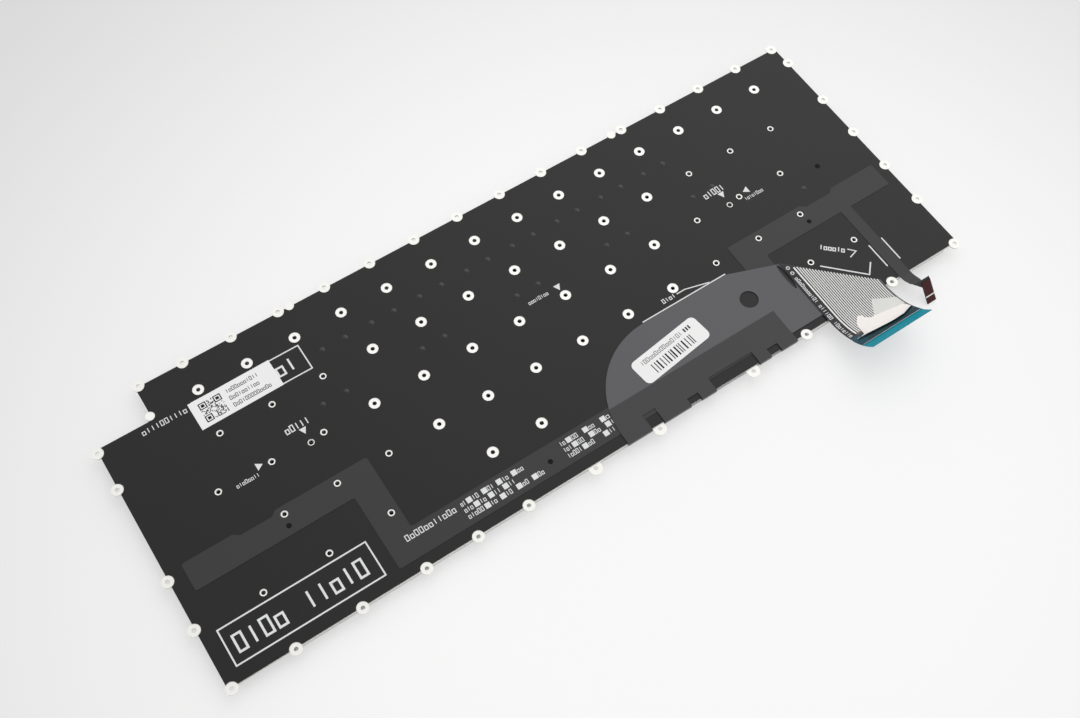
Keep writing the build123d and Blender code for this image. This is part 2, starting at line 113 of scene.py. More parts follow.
def beyond(tree, place, middle, half):
    """1 outside the rectangle of those half sides round its middle, in millimetres, and 0 inside it."""
    moved = tree.nodes.new("ShaderNodeVectorMath")
    moved.operation = "SUBTRACT"
    moved.inputs[1].default_value = (middle[0] * mm, middle[1] * mm, 0.0)
    tree.links.new(place, moved.inputs[0])
    axes = tree.nodes.new("ShaderNodeSeparateXYZ")
    tree.links.new(moved.outputs[0], axes.inputs[0])
    past_x = worked(tree, "GREATER_THAN", worked(tree, "ABSOLUTE", axes.outputs["X"]), half[0] * mm)
    past_y = worked(tree, "GREATER_THAN", worked(tree, "ABSOLUTE", axes.outputs["Y"]), half[1] * mm)
    return worked(tree, "MAXIMUM", past_x, past_y)


# The paper's colour is painted darker with distance from a point near the keyboard, down to 0.7 of its tone:
# a painted fall-off of light towards the far corners.
sweep_half = 12.0
painted_falloff_middle = (0.02, -0.07, 0.0)
painted_falloff_reach = (0.08, 0.40)
painted_falloff_tone = (1.0, 0.7)
# The paper's glow, painted light that lightens the shadows on it, and how much of its colour it makes up:
painted_glow_strength = 0.95
painted_glow_share = 0.55
covered_middle, covered_half = (8.5, 0.0), (132.5, 51.9)
sweep_mesh = bpy.data.meshes.new("sweep")
sweep_sides = [(-1, -1), (1, -1), (1, 1), (-1, 1)]
sweep_mesh.from_pydata([(x * sweep_half, y * sweep_half, 0.0) for x, y in sweep_sides], [], [(0, 1, 2, 3)])
sweep_paper = bpy.data.materials.new("sweep_paper")
sweep_paper.use_nodes = True
sweep_tree = sweep_paper.node_tree
sweep_nodes = sweep_tree.nodes
sweep_join = sweep_tree.links.new
sweep_shader = sweep_nodes["Principled BSDF"]
sweep_shader.inputs["Roughness"].default_value = 0.9
sweep_shader.inputs["Specular IOR Level"].default_value = 0.0
sweep_place = sweep_nodes.new("ShaderNodeTexCoord").outputs["Object"]
# Painted fall-off of light: the paper's colour darkens with distance from the middle point.
sweep_reach = sweep_nodes.new("ShaderNodeVectorMath")
sweep_reach.operation = "DISTANCE"
sweep_reach.inputs[1].default_value = painted_falloff_middle
sweep_shade = sweep_nodes.new("ShaderNodeMapRange")
sweep_shade.interpolation_type = "SMOOTHSTEP"
sweep_shade.inputs["From Min"].default_value, sweep_shade.inputs["From Max"].default_value = painted_falloff_reach
sweep_shade.inputs["To Min"].default_value, sweep_shade.inputs["To Max"].default_value = painted_falloff_tone
sweep_join(sweep_place, sweep_reach.inputs[0])
sweep_join(sweep_reach.outputs["Value"], sweep_shade.inputs["Value"])
sweep_join(sweep_shade.outputs["Result"], sweep_shader.inputs["Base Color"])
# Seen directly or in reflections, the paper also glows with part of its painted tone. This is painted light
# that lightens the object's shadows on it. It does not glow under the keyboard, so the shadow along the
# keyboard's edges stays.
painted_floor_glow = sweep_nodes.new("ShaderNodeEmission")
painted_floor_glow.inputs["Strength"].default_value = painted_glow_strength
sweep_join(sweep_shade.outputs["Result"], painted_floor_glow.inputs["Color"])
sweep_ray = sweep_nodes.new("ShaderNodeLightPath").outputs
sweep_seen = worked(sweep_tree, "MAXIMUM", sweep_ray["Is Camera Ray"], sweep_ray["Is Glossy Ray"])
sweep_seen = worked(sweep_tree, "MAXIMUM", sweep_seen, sweep_ray["Is Transmission Ray"])
sweep_open = beyond(sweep_tree, sweep_place, covered_middle, covered_half)
sweep_share = worked(sweep_tree, "MULTIPLY", sweep_seen, sweep_open)
sweep_share = worked(sweep_tree, "MULTIPLY", sweep_share, painted_glow_share)
sweep_mix = sweep_nodes.new("ShaderNodeMixShader")
sweep_join(sweep_share, sweep_mix.inputs["Fac"])
sweep_join(sweep_shader.outputs[0], sweep_mix.inputs[1])
sweep_join(painted_floor_glow.outputs[0], sweep_mix.inputs[2])
sweep_join(sweep_mix.outputs[0], sweep_nodes["Material Output"].inputs["Surface"])
sweep_mesh.materials.append(sweep_paper)
sweep = bpy.data.objects.new("sweep", sweep_mesh)
scene.collection.objects.link(sweep)


# The support plate is a stamped sheet of bright aluminium, the carrier of everything else. Rings drawn
# up round its screw holes come nearly flush through the film, and duller round ears stand out at its rim.
def finish(name, colour, roughness, metal=0.0, shine=0.5, drift=0.08, drift_size=9.0,
           grain=0.12, grain_size=0.35):
    """A surface whose tone and gloss drift by a share over drift_size, with a fine grain, sizes in mm."""
    material = bpy.data.materials.new(name)
    material.use_nodes = True
    nodes = material.node_tree.nodes
    join = material.node_tree.links.new
    shader = nodes["Principled BSDF"]
    shader.inputs["Metallic"].default_value = metal
    shader.inputs["Specular IOR Level"].default_value = shine
    place = nodes.new("ShaderNodeTexCoord")
    cloud = nodes.new("ShaderNodeTexNoise")
    cloud.inputs["Scale"].default_value = 1.0 / (drift_size * mm)
    cloud.inputs["Detail"].default_value = 4.0
    join(place.outputs["Object"], cloud.inputs["Vector"])
    tone = nodes.new("ShaderNodeMix")
    tone.data_type = "RGBA"
    tone.inputs["A"].default_value = (*[c * (1 - drift) for c in colour[:3]], 1.0)
    tone.inputs["B"].default_value = (*[min(1.0, c * (1 + drift)) for c in colour[:3]], 1.0)
    join(cloud.outputs["Fac"], tone.inputs["Factor"])
    join(tone.outputs["Result"], shader.inputs["Base Color"])
    gloss = nodes.new("ShaderNodeMapRange")
    gloss.inputs["To Min"].default_value = roughness * (1 - drift)
    gloss.inputs["To Max"].default_value = min(1.0, roughness * (1 + drift))
    join(cloud.outputs["Fac"], gloss.inputs["Value"])
    join(gloss.outputs["Result"], shader.inputs["Roughness"])
    speck = nodes.new("ShaderNodeTexNoise")
    speck.inputs["Scale"].default_value = 1.0 / (grain_size * mm)
    speck.inputs["Detail"].default_value = 2.0
    join(place.outputs["Object"], speck.inputs["Vector"])
    relief = nodes.new("ShaderNodeBump")
    relief.inputs["Strength"].default_value = grain
    relief.inputs["Distance"].default_value = 0.05 * mm
    join(speck.outputs["Fac"], relief.inputs["Height"])
    join(relief.outputs["Normal"], shader.inputs["Normal"])
    return material


def dress(node, material):
    """Gives a CAD node its finish."""
    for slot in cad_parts[node].material_slots:
        slot.material = material


bright_aluminium = finish("bright_aluminium", srgb(246, 245, 242), 0.5, metal=0.4, drift=0.03)
rim_half = (142.6, 50.4)
rim_share = 0.96
plate_tree = bright_aluminium.node_tree
plate_colour = plate_tree.nodes["Principled BSDF"].inputs["Base Color"]
plate_place = plate_tree.nodes.new("ShaderNodeTexCoord").outputs["Object"]
rim_tone = plate_tree.nodes.new("ShaderNodeMix")
rim_tone.data_type = "RGBA"
rim_tone.blend_type = "MULTIPLY"
rim_tone.inputs["B"].default_value = (rim_share, rim_share, rim_share * 0.98, 1.0)
plate_tree.links.new(beyond(plate_tree, plate_place, (0.0, 0.0), rim_half), rim_tone.inputs["Factor"])
plate_tree.links.new(plate_colour.links[0].from_socket, rim_tone.inputs["A"])
plate_tree.links.new(rim_tone.outputs["Result"], plate_colour)
dress("support_plate", bright_aluminium)

# The key mechanisms under the plate: moulded white scissor levers, silicone rubber domes that push the
# keys back, and bent steel wires that keep the wide keys level.
lever_nylon = finish("lever_nylon", srgb(206, 205, 200), 0.5)
dome_silicone = finish("dome_silicone", srgb(214, 214, 210), 0.38)
wire_steel = finish("wire_steel", srgb(196, 196, 198), 0.25, metal=1.0, drift=0.05)
dress("scissor_levers", lever_nylon)
dress("rubber_domes", dome_silicone)
dress("stabiliser_wires", wire_steel)

# The keycaps are black moulded plastic with a fine sprayed texture. They face the table here, so only
# their sides show.
keycap_plastic = finish("keycap_plastic", srgb(34, 34, 35), 0.55, grain=0.3, grain_size=0.25)
keycap_nodes = [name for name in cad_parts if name.startswith("key_")]
for keycaps in [*keycap_nodes, "function_keys", "side_keys"]:
    dress(keycaps, keycap_plastic)

# The light guide is a clear moulded sheet that spreads the lamps' light under the keys. The reflector
# film over it closes the back: thin black polyester with a fine matt grain, die-cut round the rings.
guide_acrylic = finish("guide_acrylic", srgb(214, 220, 222), 0.22, drift=0.04, grain=0.02)
film_polyester = finish("film_polyester", srgb(17, 16, 16), 0.44, shine=0.32, drift=0.05, drift_size=40.0)
dress("light_guide", guide_acrylic)
dress("reflector_film", film_polyester)

# Rows of blind dimples are pressed into the film where posts of the light guide stand under it, glossier
# than the film round them because it is stretched there, and painted a little lighter and bluer than it: a
# painted sheen. One near the right edge is punched dark.
dimple_radius = 0.95
dimple_height = 0.18
dimple_sides = 20
dimple_top_share = 0.4
punch_spot, punch_radius, punch_height = (123.5, 0.0), 1.0, 0.02
key_pitch = 19.05
dimple_spots = [(113.0, -5.0)]
# each row is its y, the x of its first pair, how many pairs it has and the step between them
dimple_rows = [
    (31.7, (-66.3, -57.5), 8, key_pitch),
    (13.8, (-76.0, -67.2), 5, 2 * key_pitch),
]
for row_y, first_pair, pair_count, pair_step in dimple_rows:
    for pair in range(pair_count):
        dimple_spots += [(first_x + pair_step * pair, row_y) for first_x in first_pair]


def plain_mesh(made, name):
    """The evaluated shape of an object as a plain mesh object that takes its place."""
    shown = made.evaluated_get(bpy.context.evaluated_depsgraph_get())
    piece = bpy.data.objects.new(name, bpy.data.meshes.new_from_object(shown))
    scene.collection.objects.link(piece)
    bpy.data.objects.remove(made)
    return piece


def settle(piece):
    """The piece lies still on the keyboard, held to the base body."""
    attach(piece, "base")


dimple_tree = bpy.data.node_groups.new("film_dimples", "GeometryNodeTree")
dimple_socket = dimple_tree.interface.new_socket
dimple_socket("Geometry", in_out="INPUT", socket_type="NodeSocketGeometry")
dimple_radius_input = dimple_socket("Radius", in_out="INPUT", socket_type="NodeSocketFloat")
dimple_height_input = dimple_socket("Height", in_out="INPUT", socket_type="NodeSocketFloat")
dimple_finish_input = dimple_socket("Finish", in_out="INPUT", socket_type="NodeSocketMaterial")
dimple_socket("Geometry", in_out="OUTPUT", socket_type="NodeSocketGeometry")
dimple_in = dimple_tree.nodes.new("NodeGroupInput")
dimple_out = dimple_tree.nodes.new("NodeGroupOutput")
dimple_button = dimple_tree.nodes.new("GeometryNodeMeshCone")
dimple_button.inputs["Vertices"].default_value = dimple_sides
dimple_shoulder = dimple_tree.nodes.new("ShaderNodeMath")
dimple_shoulder.operation = "MULTIPLY"
dimple_shoulder.inputs[1].default_value = dimple_top_share
dimple_copies = dimple_tree.nodes.new("GeometryNodeInstanceOnPoints")
dimple_real = dimple_tree.nodes.new("GeometryNodeRealizeInstances")
dimple_finish = dimple_tree.nodes.new("GeometryNodeSetMaterial")
dimple_join = dimple_tree.links.new
dimple_join(dimple_in.outputs["Radius"], dimple_button.inputs["Radius Bottom"])
dimple_join(dimple_in.outputs["Radius"], dimple_shoulder.inputs[0])
dimple_join(dimple_shoulder.outputs[0], dimple_button.inputs["Radius Top"])
dimple_join(dimple_in.outputs["Height"], dimple_button.inputs["Depth"])
dimple_join(dimple_in.outputs["Geometry"], dimple_copies.inputs["Points"])
dimple_join(dimple_button.outputs["Mesh"], dimple_copies.inputs["Instance"])
dimple_join(dimple_copies.outputs["Instances"], dimple_real.inputs["Geometry"])
dimple_join(dimple_real.outputs["Geometry"], dimple_finish.inputs["Geometry"])
dimple_join(dimple_in.outputs["Finish"], dimple_finish.inputs["Material"])
dimple_join(dimple_finish.outputs["Geometry"], dimple_out.inputs["Geometry"])


def pressed_spots(name, spots, level, radius, height, material):
    """Low round bumps on a flat face at that level, one at each spot."""
    points = bpy.data.meshes.new(name)
    points.from_pydata([(x * mm, y * mm, level * mm) for x, y in spots], [], [])
    maker = bpy.data.objects.new("dimple_maker", points)
    scene.collection.objects.link(maker)
    modifier = maker.modifiers.new("film_dimples", "NODES")
    modifier.node_group = dimple_tree
    modifier[dimple_radius_input.identifier] = radius * mm
    modifier[dimple_height_input.identifier] = height * mm
    modifier[dimple_finish_input.identifier] = material
    settle(plain_mesh(maker, name))


# Painted sheen: the dimples' colour is a little lighter and bluer than the film's.
dimple_gloss_and_sheen = finish("dimple_gloss_and_sheen", srgb(22, 24, 28), 0.22, drift=0.05)
dark_disc_black = finish("dark_disc_black", srgb(24, 23, 23), 0.7, shine=0.1, drift=0.05)
pressed_spots("film_dimples", dimple_spots, back_z, dimple_radius, dimple_height, dimple_gloss_and_sheen)
pressed_spots("film_punch", [punch_spot], back_z, punch_radius, punch_height, dark_disc_black)

# White screen-printed marks on the film: frames, arrows and guide lines for the people who fit it, with
# plain strokes where words stand. The ink is a raised skin a hundredth of a millimetre thick.
ink_skin = 0.012
white_ink = finish("white_ink", srgb(226, 227, 228), 0.55, grain=0.05)


def rails(points, width, closed=False):
    """The left and right edge of a line of that width drawn through the points, mitred at its corners."""
    left, right = [], []
    count = len(points)
    for i in range(count):
        here = Vector(points[i])
        ways = []
        if closed or i > 0:
            ways.append((here - Vector(points[i - 1])).normalized())
        if closed or i < count - 1:
            ways.append((Vector(points[(i + 1) % count]) - here).normalized())
        across = [Vector((-way.y, way.x)) for way in ways]
        reach = across[0] if len(across) == 1 else (across[0] + across[1]) / (1 + across[0].dot(across[1]))
        left.append(here + reach * width / 2)
        right.append(here - reach * width / 2)
    return left, right, closed


def block(low_x, low_y, high_x, high_y):
    """A filled rectangle as the two edges of one short wide line."""
    middle = (low_y + high_y) / 2
    return rails([(low_x, middle), (high_x, middle)], high_y - low_y)


def box_line(low_x, low_y, high_x, high_y, width):
    """An outlined rectangle."""
    return rails([(low_x, low_y), (high_x, low_y), (high_x, high_y), (low_x, high_y)], width, closed=True)


def stroke_word(start, end, height, count, width, chance):
    """A run of plain bars and boxes from start to end, standing where a printed word would."""
    start, end = Vector(start), Vector(end)
    step = (end - start) / count
    along = step.normalized()
    rise = Vector((-along.y, along.x)) * height
    letter_share, low_letter = 0.6, 0.68
    run = step * letter_share
    forms = [(1.0, False), (1.0, True), (low_letter, True)]
    marks = []
    for i in range(count):
        share, boxed = chance.choice(forms)
        low = start + step * i
        high = low + rise * share
        if boxed:
            marks.append(rails([low, high, high + run, low + run], width, closed=True))
        else:
            marks.append(rails([low + run / 2, high + run / 2], width))
    return marks


def arrow(tip, base_middle, base_width):
    """A filled triangle as the two edges of a line that narrows to its tip."""
    tip, base_middle = Vector(tip), Vector(base_middle)
    way = (tip - base_middle).normalized()
    half = Vector((-way.y, way.x)) * base_width / 2
    tip_share = 0.02
    sliver = half * tip_share
    return [base_middle + half, tip + sliver], [base_middle - half, tip - sliver], False


def turned(marks, centre, degrees):
    """The marks turned about the origin and moved to a centre."""
    turn = Matrix.Rotation(math.radians(degrees), 2)
    moved = []
    for left, right, closed in marks:
        edges = [[turn @ point + Vector(centre) for point in edge] for edge in (left, right)]
        moved.append((*edges, closed))
    return moved


def flat_at(level):
    """Places a point of a mark on the flat face at that level."""
    return lambda x, y, lift: (x * mm, y * mm, (level + lift) * mm)


def ink_marks(name, marks, surface, material, skin=ink_skin):
    """One mesh of raised ink: each mark is a thin closed solid that stands on the surface."""
    points, faces = [], []
    for left, right, closed in marks:
        start = len(points)
        count = len(left)
        for a, b in zip(left, right):
            points += [surface(a.x, a.y, 0), surface(b.x, b.y, 0)]
            points += [surface(b.x, b.y, skin), surface(a.x, a.y, skin)]
        for i in range(count if closed else count - 1):
            this = start + 4 * i
            then = start + 4 * ((i + 1) % count)
            for k in range(4):
                faces.append((this + k, this + (k + 1) % 4, then + (k + 1) % 4, then + k))
        if not closed:
            last = start + 4 * (count - 1)
            faces.append((start + 3, start + 2, start + 1, start))
            faces.append((last, last + 1, last + 2, last + 3))
    mesh = bpy.data.meshes.new(name)
    mesh.from_pydata(points, [], faces)
    mesh.materials.append(material)
    piece = bpy.data.objects.new(name, mesh)
    scene.collection.objects.link(piece)
    settle(piece)


film_chance = random.Random(7)
film_marks = [
    box_line(-139.4, -47.6, -88.1, -34.9, 0.5),
    *stroke_word((-136.5, -44.4), (-118.5, -44.4), 5.6, 4, 0.75, film_chance),
    *stroke_word((-112.5, -44.4), (-90.5, -44.4), 5.6, 5, 0.75, film_chance),
    box_line(-112.0, 27.5, -72.4, 37.6, 0.45),
    *stroke_word((-83.0, 30.4), (-75.0, 30.4), 4.6, 2, 0.7, film_chance),
    *stroke_word((-130.0, 35.4), (-113.8, 35.4), 1.8, 10, 0.28, film_chance),
    rails([(30.8, -18.4), (66.5, -18.4)], 0.45),
    rails([(47.3, -15.7), (50.8, -15.7), (59.8, -18.1)], 0.4),
    *stroke_word((41.3, -16.4), (46.9, -16.4), 1.5, 4, 0.3, film_chance),
    rails([(117.0, -36.7), (117.0, -47.0)], 0.5),
    rails([(122.9, -36.7), (122.9, -47.0)], 0.5),
    rails([(96.8, -34.0), (109.3, -46.2), (113.0, -42.4)], 0.5),
    *stroke_word((101.2, -28.4), (108.2, -34.6), 1.8, 6, 0.4, film_chance),
    rails([(109.5, -33.8), (111.6, -36.1), (108.2, -37.0)], 0.4),
]
for arrow_x in (-85.8, 14.1, 86.0):
    film_marks.append(arrow((arrow_x, 7.6), (arrow_x, 10.0), 2.6))
film_marks.append(arrow((-102.5, 5.8), (-104.7, 5.8), 2.8))
film_marks.append(arrow((93.2, 5.8), (95.5, 5.8), 2.8))
for word_x in (-91.0, 80.0):
    film_marks += stroke_word((word_x, 10.5), (word_x + 9.0, 10.5), 2.3, 5, 0.38, film_chance)
for word_x, word_y in ((-113.0, 2.6), (2.0, 8.3), (92.0, 2.2)):
    film_marks += stroke_word((word_x, word_y), (word_x + 8.2, word_y), 1.3, 8, 0.2, film_chance)
ink_marks("film_print", film_marks, flat_at(back_z), white_ink)

# The backlight circuit is a flexible printed strip glued to the film, black coverlay over copper, with
# its side-shining lamps let through the film. Its narrow tail leaves over the front edge.
circuit_coverlay = finish("circuit_coverlay", srgb(49, 48, 48), 0.44, shine=0.32, drift=0.06,
                          drift_size=30.0)
lamp_resin = finish("lamp_resin", srgb(228, 222, 190), 0.35)
dress("led_circuit", circuit_coverlay)
dress("leds", lamp_resin)
circuit_thickness = 0.12
band_z = back_z + circuit_thickness
# A flat dark disc lies on the band at each lamp spot, darker than the band round it.
lamp_spots = [(-105.4, -17.3), (105.4, -17.3), (-24.5, -44.0)]
lamp_disc_radius, lamp_disc_height = 0.9, 0.02
pressed_spots("lamp_dark_discs", lamp_spots, band_z, lamp_disc_radius, lamp_disc_height, dark_disc_black)

# A table of tick boxes is printed in white on the circuit, two groups of three rows. A short word stands
# beside each box and one before each row, and the last ones stop at the grey flap's edge.
box_half = 0.95
flap_edge = 1.4
row_starts = (-56.6, -18.6)
letter_height, letter_step, letter_line = 1.5, 1.1, 0.24
word_drop = 0.75
word_gap_before, word_gap_after = 0.3, 0.35
word_length = 2.4
band_chance = random.Random(11)
band_marks = stroke_word((-77.0, -42.0), (-58.3, -42.0), 1.9, 11, 0.3, band_chance)
box_rows = [
    (-40.8, (-53.5, -47.8, -42.2, -36.5), (-15.2, -8.6, -1.6)),
    (-43.2, (-52.1, -46.7, -41.2), (-14.3, -7.7, -1.1)),
    (-45.6, (-49.5, -43.7, -37.5, -31.5), (-11.8, -3.5)),
]
for row_y, *box_groups in box_rows:
    word_y = row_y - word_drop
    for box_xs, row_start in zip(box_groups, row_starts):
        word_end = box_xs[0] - box_half - word_gap_before
        word_count = max(1, round((word_end - row_start) / letter_step))
        word_ends = (row_start, word_y), (word_end, word_y)
        band_marks += stroke_word(*word_ends, letter_height, word_count, letter_line, band_chance)
        for box_x in box_xs:
            band_marks.append(block(box_x - box_half, row_y - box_half, box_x + box_half, row_y + box_half))
            word_start = box_x + box_half + word_gap_after
            word_room = min(word_length, flap_edge - word_start)
            word_count = max(1, int(word_room / letter_step))
            word_ends = (word_start, word_y), (word_start + word_room, word_y)
            band_marks += stroke_word(*word_ends, letter_height, word_count, letter_line, band_chance)
ink_marks("circuit_print", band_marks, flat_at(band_z), white_ink)

# The contact end of the backlight tail: a stiffened tip under a dark red-brown cover, creased down from
# the tail's crest, with a white line printed across it.
contact_cover = finish("contact_cover", srgb(66, 20, 22), 0.45, shine=0.25, drift=0.35, drift_size=3.0)
dress("backlight_contacts", contact_cover)
contact_thickness = 0.2
contact_slope_share = 0.7
contact_low, contact_high = (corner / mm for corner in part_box("backlight_contacts"))
contact_top = Vector((contact_high.y - contact_thickness * contact_slope_share, contact_high.z))
contact_foot = Vector((contact_low.y, contact_low.z + contact_thickness * contact_slope_share))
contact_run = (contact_foot - contact_top).normalized()
contact_out = Vector((contact_run.y, -contact_run.x))
contact_line_from, contact_line_to = 5.6, 6.1


def on_contact(x, y, lift):
    """Places a point on the contact end's upper face, y millimetres down from its top edge."""
    spot = contact_top + contact_run * y + contact_out * lift
    return (x * mm, spot.x * mm, spot.y * mm)


contact_line = block(contact_low.x, contact_line_from, contact_high.x, contact_line_to)
ink_marks("contact_line", [contact_line[1::-1] + (False,)], on_contact, white_ink)

# The membrane circuit is two printed polyester sheets. A flap of it wraps round the front edge on to the
# back, a grey sheet with silver ink on its hidden side, and runs on as the tail, turned over at a slant.
membrane_polyester = finish("membrane_polyester", srgb(80, 80, 84), 0.4, shine=0.42, drift=0.05,
                            drift_size=25.0, grain=0.05)
dress("membrane_circuit", membrane_polyester)

# The tail shows the sheet's other face, printed black, with silver traces side by side from the slanting
# fold over the curl and into the contacts, a broad one first, and marks down the margin on the left.
tail_rise, curl_rise = 0.54, 22.4
tail_z = back_z + tail_rise
tail_left_x, tail_right_x = 84.9, 110.9
fold_high_y, fold_low_y = -25.6, -49.9
curl_y, curl_z = -52.5, back_z + curl_rise
curl_radius = curl_z - tail_z
trace_end_angle = math.radians(30.0)
trace_count = 27
trace_first_x, trace_last_x = 89.2, 109.8
trace_step = (trace_last_x - trace_first_x) / (trace_count - 1)
trace_xs = [trace_first_x + trace_step * i for i in range(trace_count)]
trace_steps = 18
trace_start, broad_trace_start = 0.4, 0.9
trace_width = 0.45
broad_trace_x, broad_trace_width = 88.2, 0.6
plain_border = 0.8
trace_skin = 0.09
trace_lift = 0.06
silver_ink = finish("silver_ink", srgb(232, 232, 230), 0.5, metal=0.1, drift=0.04)
ground_ink = finish("ground_ink", srgb(40, 40, 42), 0.5, shine=0.3)


def on_tail(x, y, lift):
    """Places a point on the tail's upper face: y runs straight down the flat part and on round the curl."""
    past = max(0.0, curl_y - y)
    angle = past / curl_radius
    radius = curl_radius - lift
    level_y = max(y, curl_y) - radius * math.sin(angle)
    return (x * mm, level_y * mm, (curl_z - radius * math.cos(angle)) * mm)


def fold_y(x):
    """The slanting fold's y at that x."""
    return fold_high_y + (fold_low_y - fold_high_y) * (x - tail_left_x) / (tail_right_x - tail_left_x)


def trace_stops(x, start):
    """The y of each point of a trace at that x, from a start below the fold to the contacts."""
    turns = [curl_radius * trace_end_angle * k / trace_steps for k in range(1, trace_steps + 1)]
    return [fold_y(x) - start, curl_y, *[curl_y - turn for turn in turns]]


trace_curve = bpy.data.curves.new("trace_paths", "CURVE")
trace_curve.dimensions = "3D"
for x in trace_xs:
    stops = trace_stops(x, trace_start)
    path = trace_curve.splines.new("POLY")
    path.points.add(len(stops) - 1)
    for point, y in zip(path.points, stops):
        point.co = (*on_tail(x, y, trace_lift), 1.0)
trace_maker = bpy.data.objects.new("trace_maker", trace_curve)
scene.collection.objects.link(trace_maker)
trace_tree = bpy.data.node_groups.new("tail_traces", "GeometryNodeTree")
trace_tree.interface.new_socket("Geometry", in_out="INPUT", socket_type="NodeSocketGeometry")
trace_width_input = trace_tree.interface.new_socket("Width", in_out="INPUT", socket_type="NodeSocketFloat")
trace_skin_input = trace_tree.interface.new_socket("Skin", in_out="INPUT", socket_type="NodeSocketFloat")
trace_tree.interface.new_socket("Geometry", in_out="OUTPUT", socket_type="NodeSocketGeometry")
trace_in = trace_tree.nodes.new("NodeGroupInput")
trace_out = trace_tree.nodes.new("NodeGroupOutput")
trace_level = trace_tree.nodes.new("GeometryNodeSetCurveNormal")
trace_level.mode = "Z_UP"
trace_section = trace_tree.nodes.new("GeometryNodeCurvePrimitiveQuadrilateral")
trace_sweep = trace_tree.nodes.new("GeometryNodeCurveToMesh")
trace_sweep.inputs["Fill Caps"].default_value = True
trace_real = trace_tree.nodes.new("GeometryNodeRealizeInstances")
trace_finish = trace_tree.nodes.new("GeometryNodeSetMaterial")
trace_finish.inputs["Material"].default_value = silver_ink
trace_join = trace_tree.links.new
trace_join(trace_in.outputs["Geometry"], trace_level.inputs["Curve"])
trace_join(trace_in.outputs["Width"], trace_section.inputs["Width"])
trace_join(trace_in.outputs["Skin"], trace_section.inputs["Height"])
trace_join(trace_level.outputs["Curve"], trace_sweep.inputs["Curve"])
trace_join(trace_section.outputs["Curve"], trace_sweep.inputs["Profile Curve"])
trace_join(trace_sweep.outputs["Mesh"], trace_real.inputs["Geometry"])
trace_join(trace_real.outputs["Geometry"], trace_finish.inputs["Geometry"])
trace_join(trace_finish.outputs["Geometry"], trace_out.inputs["Geometry"])
trace_modifier = trace_maker.modifiers.new("tail_traces", "NODES")
trace_modifier.node_group = trace_tree
trace_modifier[trace_width_input.identifier] = trace_width * mm
trace_modifier[trace_skin_input.identifier] = trace_skin * mm
settle(plain_mesh(trace_maker, "tail_traces"))

broad_stops = trace_stops(broad_trace_x, broad_trace_start)
margin_skin = 0.1
broad_trace = rails([(broad_trace_x, y) for y in broad_stops], broad_trace_width)
ink_marks("broad_trace", [broad_trace], on_tail, silver_ink, margin_skin)
margin_chance = random.Random(5)
margin_x = 85.6
margin_marks = []
margin_letter, margin_line = 1.25, 0.22
for word_from, word_to, word_count in ((-33.4, -45.4, 11), (-46.6, -53.4, 6), (-54.6, -63.6, 8)):
    word_ends = (margin_x, word_from), (margin_x, word_to)
    margin_marks += stroke_word(*word_ends, margin_letter, word_count, margin_line, margin_chance)
ring_x, ring_radius, ring_line, ring_sides = margin_x + 0.7, 0.55, 0.3, 16
ring_turns = [math.tau * k / ring_sides for k in range(ring_sides)]
for ring_y in (-28.7, -31.2):
    ring_middle = Vector((ring_x, ring_y))
    ring_points = [ring_middle + Vector((math.cos(a), math.sin(a))) * ring_radius for a in ring_turns]
    margin_marks.append(rails(ring_points, ring_line, closed=True))
ink_marks("margin_print", margin_marks, on_tail, white_ink, margin_skin)

# The contact band at the tail's end is dark teal cover with black carbon fingers, one for each trace, a
# brown line of bare ink before it and, after it, a thin pale strip: a painted highlight on the cut edge. The
# stiffener glued under it is a strip of teal polyester that stands out past the sheet.
stiffener_polyester = finish("stiffener_polyester", srgb(0, 138, 156), 0.4, shine=0.15, drift=0.05)
dress("tail_stiffener", stiffener_polyester)
band_cover = finish("band_cover", srgb(2, 62, 76), 0.3, shine=0.3, drift=0.15, drift_size=12.0)
carbon_ink = finish("carbon_ink", srgb(6, 18, 24), 0.35, grain=0.05)
bare_ink = finish("bare_ink", srgb(112, 72, 58), 0.5)
painted_edge_highlight = finish("painted_edge_highlight", srgb(196, 222, 224), 0.35)
patch_step = 0.35


def along(stops):
    """An edge that runs straight from stop to stop, each an x and its angle round the curl in degrees."""
    def edge(x):
        for (from_x, from_angle), (to_x, to_angle) in zip(stops, stops[1:]):
            if x <= to_x:
                return from_angle + (to_angle - from_angle) * (x - from_x) / (to_x - from_x)
        return stops[-1][1]
    return edge


def tail_patch(name, low_x, high_x, low_edge, high_edge, lift, thickness, material, rows=12):
    """A thin sheet on the curl between two edges, standing off by lift at a share of the way down it."""
    columns = max(2, round((high_x - low_x) / patch_step))
    points = []
    for i in range(columns + 1):
        x = low_x + (high_x - low_x) * i / columns
        for j in range(rows + 1):
            angle = low_edge(x) + (high_edge(x) - low_edge(x)) * j / rows
            y = curl_y - curl_radius * math.radians(angle)
            base = lift(j / rows)
            points += [on_tail(x, y, base), on_tail(x, y, base + thickness)]
    faces = []
    line = 2 * (rows + 1)
    for i in range(columns):
        for j in range(rows):
            a = i * line + 2 * j
            b = a + line
            faces.append((a + 1, a + 3, b + 3, b + 1))
            faces.append((a, b, b + 2, a + 2))
        top = i * line
        foot = top + 2 * rows
        faces.append((top, top + 1, top + line + 1, top + line))
        faces.append((foot, foot + line, foot + line + 1, foot + 1))
    for j in range(rows):
        a = 2 * j
        b = columns * line + 2 * j
        faces.append((a, a + 2, a + 3, a + 1))
        faces.append((b, b + 1, b + 3, b + 2))
    mesh = bpy.data.meshes.new(name)
    mesh.from_pydata(points, [], faces)
    mesh.materials.append(material)
    piece = bpy.data.objects.new(name, mesh)
    scene.collection.objects.link(piece)
    settle(piece)
    return piece


def even(angle):
    """An edge at one angle all along."""
    return lambda x: angle


def lifted(base, rise=0.0):
    """How far a sheet stands off the tail: base, growing by rise to its lower edge."""
    return lambda share: base + rise * share ** 3


